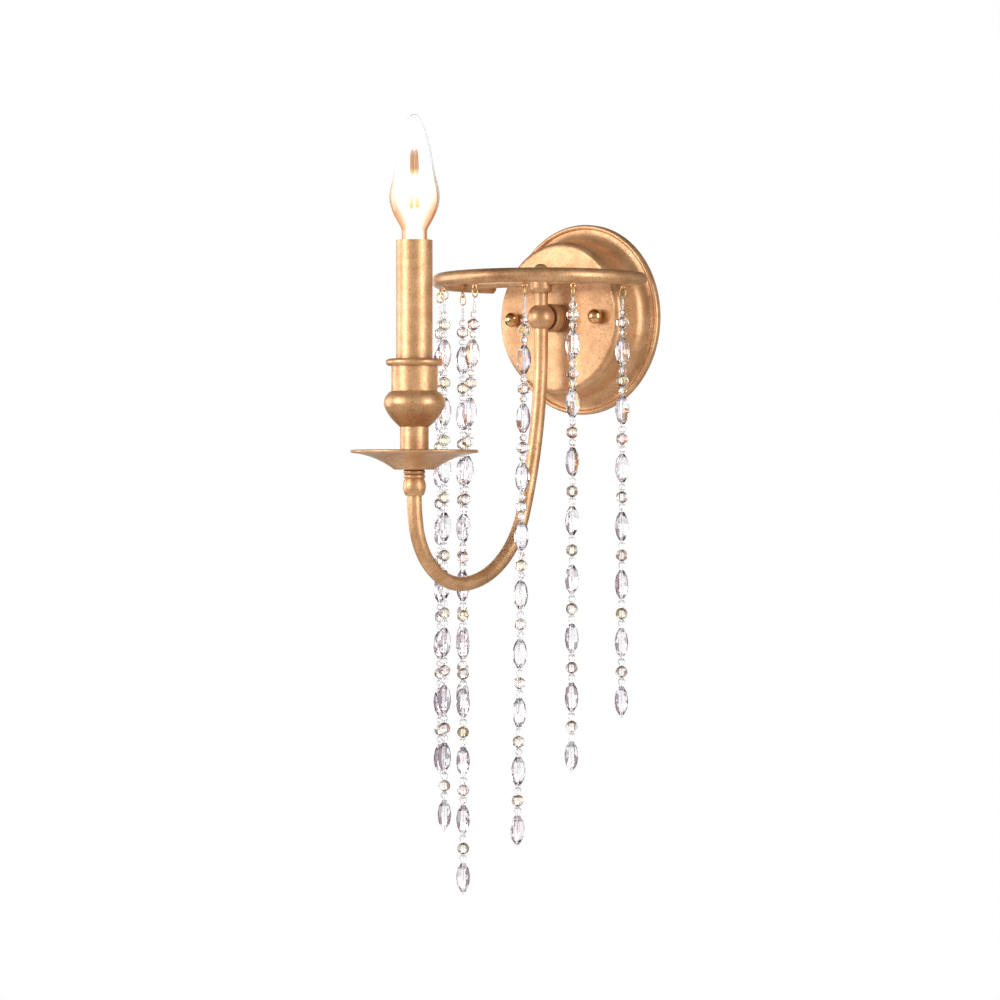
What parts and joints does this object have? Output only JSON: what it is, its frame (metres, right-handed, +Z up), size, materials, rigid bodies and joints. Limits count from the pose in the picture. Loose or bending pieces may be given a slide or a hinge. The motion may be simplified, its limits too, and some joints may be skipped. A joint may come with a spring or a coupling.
{
  "type": "wall sconce",
  "caption": "Wall light with a round plate, a bent arm carrying a candle lamp over a drip pan, and an open ring hung with strands of faceted crystal beads.",
  "frame": {"origin": "on the wall, at the middle of the two box screws and on the axis of the round backplate", "axes": "+Y into the wall, +Z up, +X right for someone who faces the wall; the candle stands out along -Y"},
  "size_m": [0.1432, 0.2117, 0.4927],
  "materials": {
    "champagne_gold": "antiqued semi-gloss paint",
    "zinc_steel": "zinc plated",
    "brass_fittings": "plain turned",
    "holder_moulding": "moulded",
    "holder_metal": "plain rolled",
    "lead_insulation": "smooth",
    "bulb_clear_glass": "clear",
    "bulb_cap_metal": "rolled thread",
    "bulb_inner": "glowing",
    "round_crystal": "cut and polished, faint amber",
    "oval_crystal": "cut and polished, clear",
    "strand_wire": "bright"
  },
  "bodies": {
    "sconce": {"backplate": "champagne_gold", "mounting_bracket": "zinc_steel", "ground_screw": "zinc_steel", "mounting_studs": "zinc_steel", "stud_lock_nuts": "zinc_steel", "cap_nuts": "champagne_gold", "centre_nipple": "brass_fittings", "nipple_nuts": "brass_fittings", "lock_washer": "zinc_steel", "plate_collar": "champagne_gold", "hub_ball": "champagne_gold", "ring_post": "champagne_gold", "ring_hub": "champagne_gold", "finial": "champagne_gold", "crossbar": "champagne_gold", "c_ring": "champagne_gold", "ring_eyelets": "champagne_gold", "arm_tube": "champagne_gold", "arm_coupling": "champagne_gold", "drip_pan": "champagne_gold", "candle_neck": "champagne_gold", "turned_knob": "champagne_gold", "candle_cup": "champagne_gold", "candle_sleeve": "champagne_gold", "candle_nipple": "brass_fittings", "lamp_holder": "holder_moulding", "screw_shell": "holder_metal", "centre_contact": "holder_metal", "lamp_leads": "lead_insulation"},
    "bulb": {"bulb_glass": "bulb_clear_glass", "bulb_cap": "bulb_cap_metal", "bulb_filament": "bulb_inner"},
    "strand_1": {"link_1": "strand_wire", "thread_1": "strand_wire", "round_beads_1": "round_crystal", "oval_beads_1": "oval_crystal"},
    "strand_2": {"link_2": "strand_wire", "thread_2": "strand_wire", "round_beads_2": "round_crystal", "oval_beads_2": "oval_crystal"},
    "strand_3": {"link_3": "strand_wire", "thread_3": "strand_wire", "round_beads_3": "round_crystal", "oval_beads_3": "oval_crystal"},
    "strand_4": {"link_4": "strand_wire", "thread_4": "strand_wire", "round_beads_4": "round_crystal", "oval_beads_4": "oval_crystal"},
    "strand_5": {"link_5": "strand_wire", "thread_5": "strand_wire", "round_beads_5": "round_crystal", "oval_beads_5": "oval_crystal"},
    "strand_6": {"link_6": "strand_wire", "thread_6": "strand_wire", "round_beads_6": "round_crystal", "oval_beads_6": "oval_crystal"},
    "strand_7": {"link_7": "strand_wire", "thread_7": "strand_wire", "round_beads_7": "round_crystal", "oval_beads_7": "oval_crystal"}
  },
  "joints": [
    {"name": "strand_1_swing", "type": "hinge", "parent": "sconce", "child": "strand_1", "pos_m": [-0.067, -0.046, 0.01545], "axis": [0, -1, 0], "range_deg": [-30, 8]},
    {"name": "strand_2_swing", "type": "hinge", "parent": "sconce", "child": "strand_2", "pos_m": [-0.05802, -0.0795, 0.01545], "axis": [0.5, -0.866, 0], "range_deg": [-30, 8]},
    {"name": "strand_3_swing", "type": "hinge", "parent": "sconce", "child": "strand_3", "pos_m": [-0.0335, -0.10402, 0.01545], "axis": [0.866, -0.5, 0], "range_deg": [-30, 6]},
    {"name": "strand_4_swing", "type": "hinge", "parent": "sconce", "child": "strand_4", "pos_m": [0, -0.113, 0.01545], "axis": [1, 0, 0], "range_deg": [-7, 4]},
    {"name": "strand_5_swing", "type": "hinge", "parent": "sconce", "child": "strand_5", "pos_m": [0.0335, -0.10402, 0.01545], "axis": [0.866, 0.5, 0], "range_deg": [-30, 6]},
    {"name": "strand_6_swing", "type": "hinge", "parent": "sconce", "child": "strand_6", "pos_m": [0.05574, -0.08317, 0.01545], "axis": [0.5548, 0.832, 0], "range_deg": [-30, 8]},
    {"name": "strand_7_swing", "type": "hinge", "parent": "sconce", "child": "strand_7", "pos_m": [0.067, -0.046, 0.01545], "axis": [0, 1, 0], "range_deg": [-30, 8]},
    {"name": "bulb_unscrew", "type": "slide", "parent": "sconce", "child": "bulb", "axis": [0, 0, 1], "range_m": [0, 0.024]}
  ]
}
